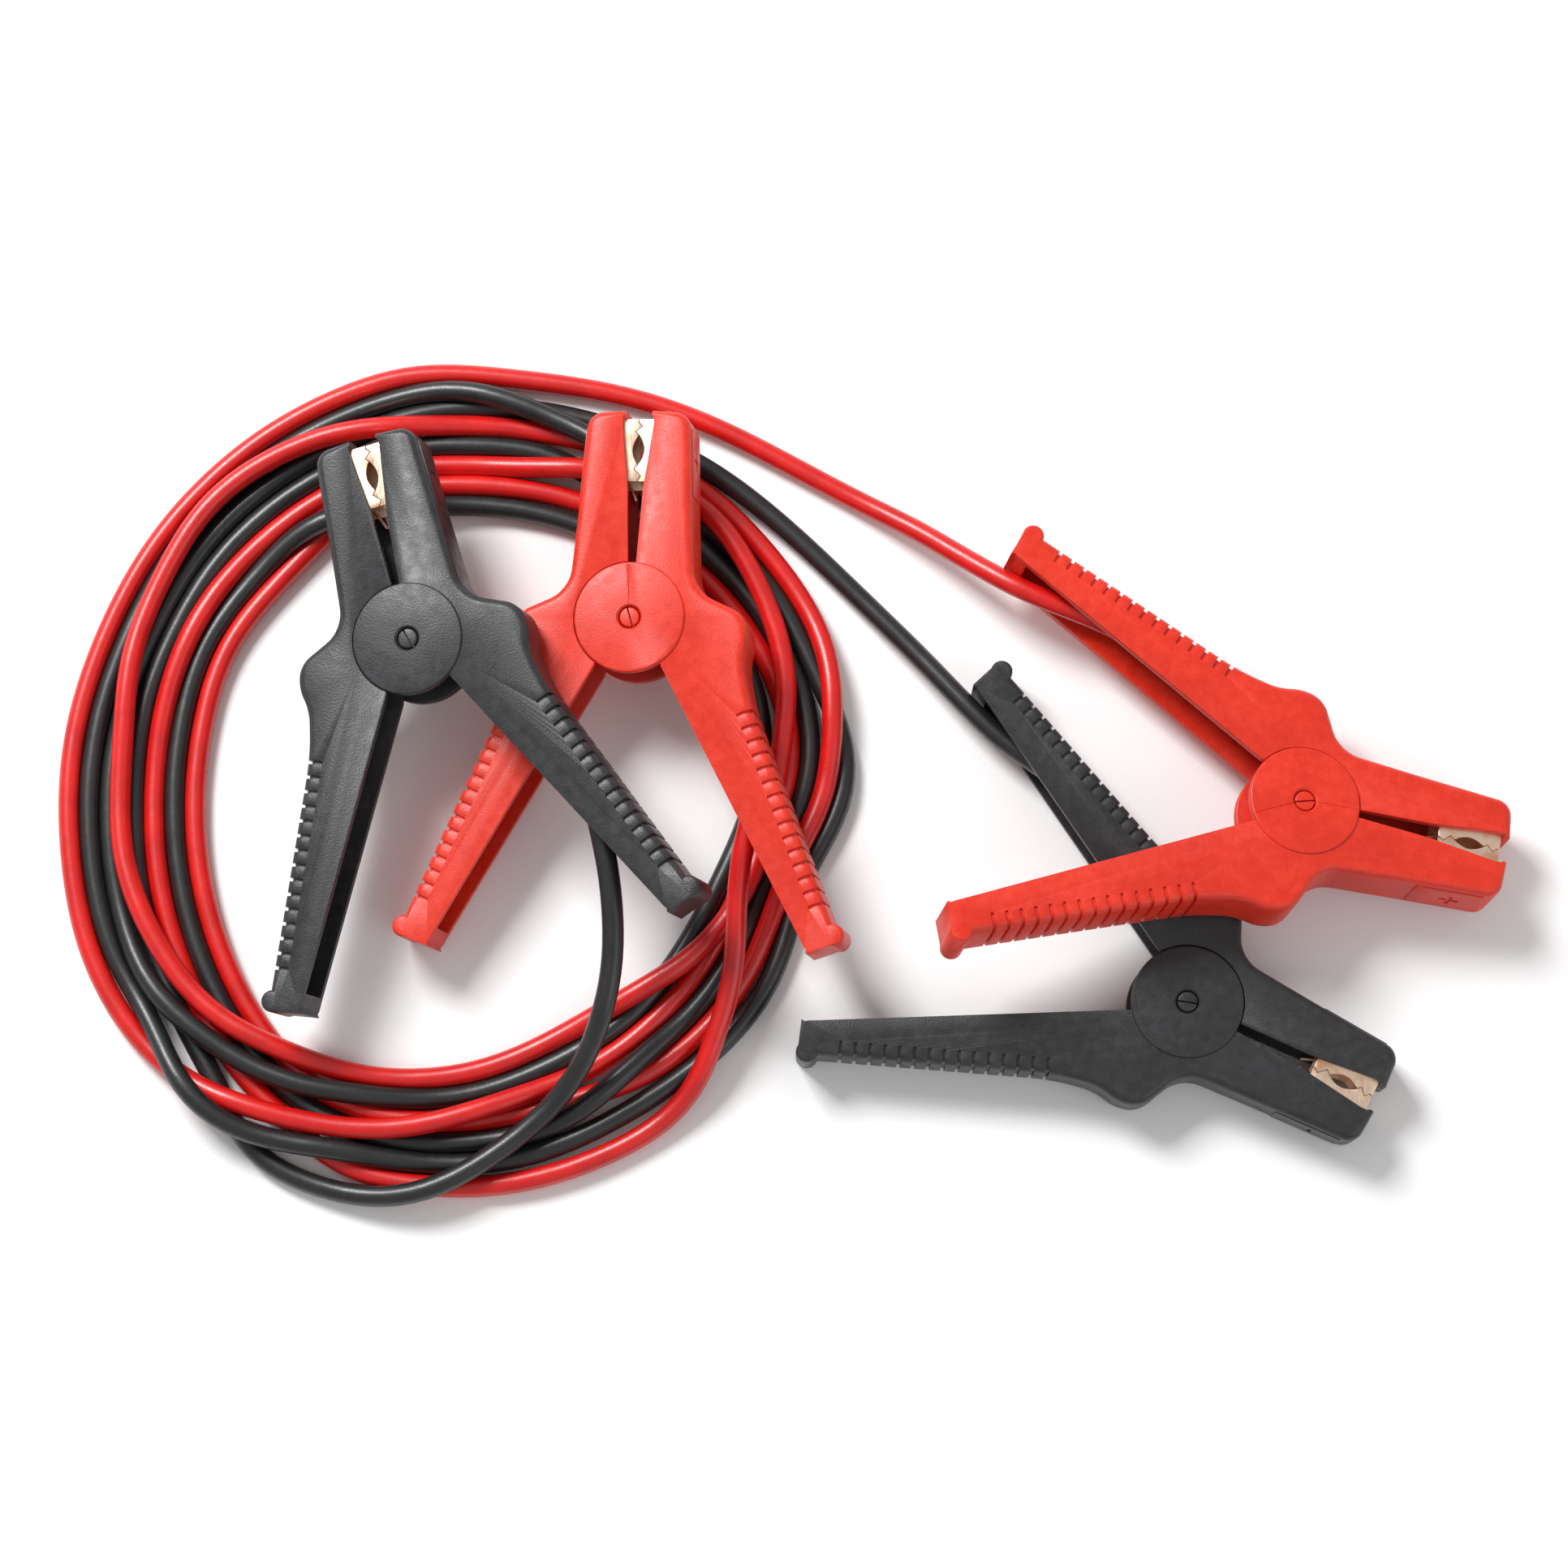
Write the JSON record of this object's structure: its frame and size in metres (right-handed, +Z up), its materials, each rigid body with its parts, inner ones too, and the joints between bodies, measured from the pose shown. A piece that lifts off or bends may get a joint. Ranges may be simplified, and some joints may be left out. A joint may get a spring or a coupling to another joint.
{
  "type": "car jumper cable",
  "caption": "Set of car jumper cables: a red and a black lead wound in one loose coil, each with a red or black spring clamp with copper jaw contacts at both ends, lying flat as stored.",
  "frame": {"origin": "centre, at floor level, of the box around the four clamps, with the cords left out", "axes": "+X from the coil towards the two right-hand clamps' jaws, +Y away from the viewer over the coil, +Z up from the floor that the set lies on"},
  "size_m": [0.4385, 0.2547, 0.0593],
  "materials": {
    "red_clamp_plastic": "fine moulded texture",
    "black_clamp_plastic": "fine moulded texture",
    "red_cable_pvc": "smooth, slightly glossy",
    "black_cable_pvc": "smooth, slightly glossy",
    "copper_contact": "bright copper-plated sheet",
    "zinc_plated_steel": "zinc plated"
  },
  "bodies": {
    "coil_and_cable_levers": {"coil_of_both_leads": "red_cable_pvc", "lead_red_to_right_clamp": "red_cable_pvc", "lead_black_to_right_clamp": "black_cable_pvc", "lead_black_to_left_clamp": "black_cable_pvc", "lead_red_to_left_clamp": "red_cable_pvc", "cable_lever_black_left": "black_clamp_plastic", "cable_contact_black_left": "copper_contact", "pivot_pin_black_left": "black_clamp_plastic", "spring_coil_black_left": "zinc_plated_steel", "crimp_black_left": "zinc_plated_steel", "cable_lever_red_left": "red_clamp_plastic", "cable_contact_red_left": "copper_contact", "pivot_pin_red_left": "red_clamp_plastic", "spring_coil_red_left": "zinc_plated_steel", "crimp_red_left": "zinc_plated_steel", "cable_lever_red_right": "red_clamp_plastic", "cable_contact_red_right": "copper_contact", "pivot_pin_red_right": "red_clamp_plastic", "spring_coil_red_right": "zinc_plated_steel", "crimp_red_right": "zinc_plated_steel", "cable_lever_black_right": "black_clamp_plastic", "cable_contact_black_right": "copper_contact", "pivot_pin_black_right": "black_clamp_plastic", "spring_coil_black_right": "zinc_plated_steel", "crimp_black_right": "zinc_plated_steel"},
    "free_lever_black_left_body": {"free_lever_black_left": "black_clamp_plastic", "free_contact_black_left": "copper_contact"},
    "free_lever_red_left_body": {"free_lever_red_left": "red_clamp_plastic", "free_contact_red_left": "copper_contact"},
    "free_lever_red_right_body": {"free_lever_red_right": "red_clamp_plastic", "free_contact_red_right": "copper_contact"},
    "free_lever_black_right_body": {"free_lever_black_right": "black_clamp_plastic", "free_contact_black_right": "copper_contact"}
  },
  "joints": [
    {"name": "black_left_clamp_opens", "type": "hinge", "parent": "coil_and_cable_levers", "child": "free_lever_black_left_body", "pos_m": [-0.14276, 0.0373, 0.0349], "axis": [-0.196, -0.0294, 0.9802], "range_deg": [0, 25], "stiffness_Nm_per_rad": 0.6, "springref_deg": -57.3},
    {"name": "red_left_clamp_opens", "type": "hinge", "parent": "coil_and_cable_levers", "child": "free_lever_red_left_body", "pos_m": [-0.07736, 0.046, 0.0244], "axis": [-0.1483, -0.0198, 0.9887], "range_deg": [0, 25], "stiffness_Nm_per_rad": 0.6, "springref_deg": -57.3},
    {"name": "red_right_clamp_opens", "type": "hinge", "parent": "coil_and_cable_levers", "child": "free_lever_red_right_body", "pos_m": [0.12284, -0.0116, 0.0216], "axis": [-0.1553, -0.1844, -0.9705], "range_deg": [0, 25], "stiffness_Nm_per_rad": 0.6, "springref_deg": -57.3},
    {"name": "black_right_clamp_opens", "type": "hinge", "parent": "coil_and_cable_levers", "child": "free_lever_black_right_body", "pos_m": [0.08914, -0.0692, 0.01], "axis": [0, 0, -1], "range_deg": [0, 25], "stiffness_Nm_per_rad": 0.6, "springref_deg": -57.3}
  ]
}
